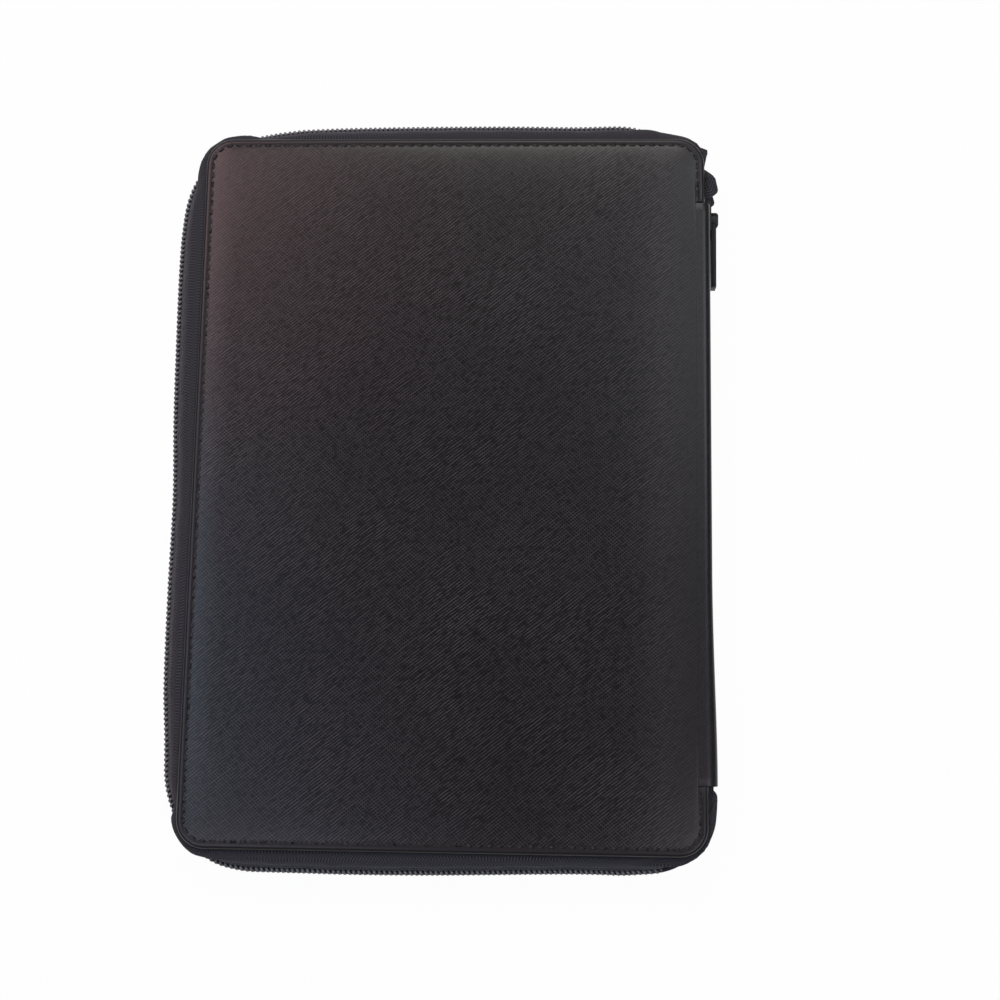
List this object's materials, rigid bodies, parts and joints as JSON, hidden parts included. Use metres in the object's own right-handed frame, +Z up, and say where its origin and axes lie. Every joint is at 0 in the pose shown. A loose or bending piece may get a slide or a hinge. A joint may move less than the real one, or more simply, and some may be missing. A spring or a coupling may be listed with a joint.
{
  "type": "zippered padfolio",
  "caption": "Closed zip-round padfolio in black grained leatherette, with a hinged spine, zip slider, notepad, pockets and pen loop inside",
  "frame": {"origin": "centre of the footprint on the table, under the closed folio", "axes": "+X across the covers to the spine, +Y along the spine to the end where the slider parks, +Z up"},
  "size_m": [0.1846, 0.256, 0.02],
  "materials": {
    "cover_skin": "black cross-hatch grained leatherette",
    "foam": "thin padding foam",
    "cover_board": "grey board",
    "lining": "black woven lining",
    "zip_tape": "black woven polyester tape",
    "zip_coil": "black nylon coil",
    "slider": "black painted zinc",
    "pocket": "black smooth leatherette",
    "paper": "ruled writing paper",
    "pad_backing": "grey card",
    "binding": "black binding tape",
    "elastic": "black woven elastic"
  },
  "bodies": {
    "front_cover": {"front_skin": "cover_skin", "front_foam": "foam", "front_board": "cover_board", "front_lining": "lining", "front_zip_tape": "zip_tape", "front_zip_coil": "zip_coil", "document_pocket": "pocket", "card_pocket_1": "pocket", "card_pocket_2": "pocket", "card_pocket_3": "pocket"},
    "spine": {"spine_skin": "cover_skin", "spine_board": "cover_board", "spine_lining": "lining", "top_zip_tail": "zip_tape", "bottom_zip_tail": "zip_tape"},
    "back_cover": {"back_skin": "cover_skin", "back_foam": "foam", "back_board": "cover_board", "back_lining": "lining", "back_zip_tape": "zip_tape", "back_zip_coil": "zip_coil", "pad_pocket": "pocket", "notepad_backing": "pad_backing", "notepad_sheets": "paper", "notepad_binding": "binding", "pen_loop": "elastic"},
    "slider": {"slider_body": "slider", "slider_crown": "slider"},
    "pull": {"pull_tab": "slider"}
  },
  "joints": [
    {"name": "front_fold", "type": "hinge", "parent": "front_cover", "child": "spine", "pos_m": [0.08653, 0, 0.0022], "axis": [0, 1, 0], "range_deg": [0, 90]},
    {"name": "back_fold", "type": "hinge", "parent": "spine", "child": "back_cover", "pos_m": [0.08653, 0, 0.0178], "axis": [0, 1, 0], "range_deg": [0, 90]},
    {"name": "slider_travel", "type": "hinge", "parent": "spine", "child": "slider", "pos_m": [0.05532, 0.0938, 0.01], "axis": [0, 0, 1], "range_deg": [0, 25]},
    {"name": "pull_swing", "type": "hinge", "parent": "slider", "child": "pull", "pos_m": [0.09052, 0.09305, 0.01], "axis": [0, 0, 1], "range_deg": [0, 165]}
  ],
  "couplings": [
    {"joint": "back_fold", "follows": "front_fold", "ratio": 1}
  ]
}
